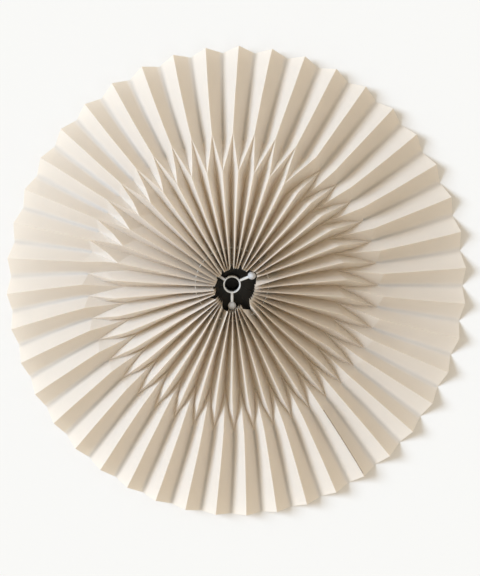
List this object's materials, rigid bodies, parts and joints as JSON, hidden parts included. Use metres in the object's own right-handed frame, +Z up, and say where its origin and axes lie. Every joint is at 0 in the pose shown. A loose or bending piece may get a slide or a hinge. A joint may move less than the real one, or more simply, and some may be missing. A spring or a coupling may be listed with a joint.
{
  "type": "pleated paper lampshade",
  "caption": "Wide pleated paper lampshade with a row of crossed folds, drawn together round a black lampholder with a grey ring and ball-ended arms.",
  "frame": {"origin": "middle of the rim's box in plan, at the height of the rim's lowest folds, on which the shade stands", "axes": "+Z up through the opening; +Y is the top of the picture and +X its right, the picture being a view from straight above"},
  "size_m": [0.8892, 0.9082, 0.1884],
  "materials": {
    "paper": "matt, slightly fibrous",
    "holder_black": "satin",
    "ring_grey": "satin",
    "arm_white": "satin",
    "ball_grey": "satin"
  },
  "bodies": {
    "root": {"pleated_shade": "paper", "bearing_dish": "holder_black", "lampholder_barrel": "holder_black", "carrier_ring": "ring_grey", "carrier_arm_1": "arm_white", "carrier_arm_2": "arm_white", "carrier_arm_3": "arm_white", "arm_ball_1": "ball_grey", "arm_ball_2": "ball_grey", "arm_ball_3": "ball_grey"}
  },
  "joints": []
}
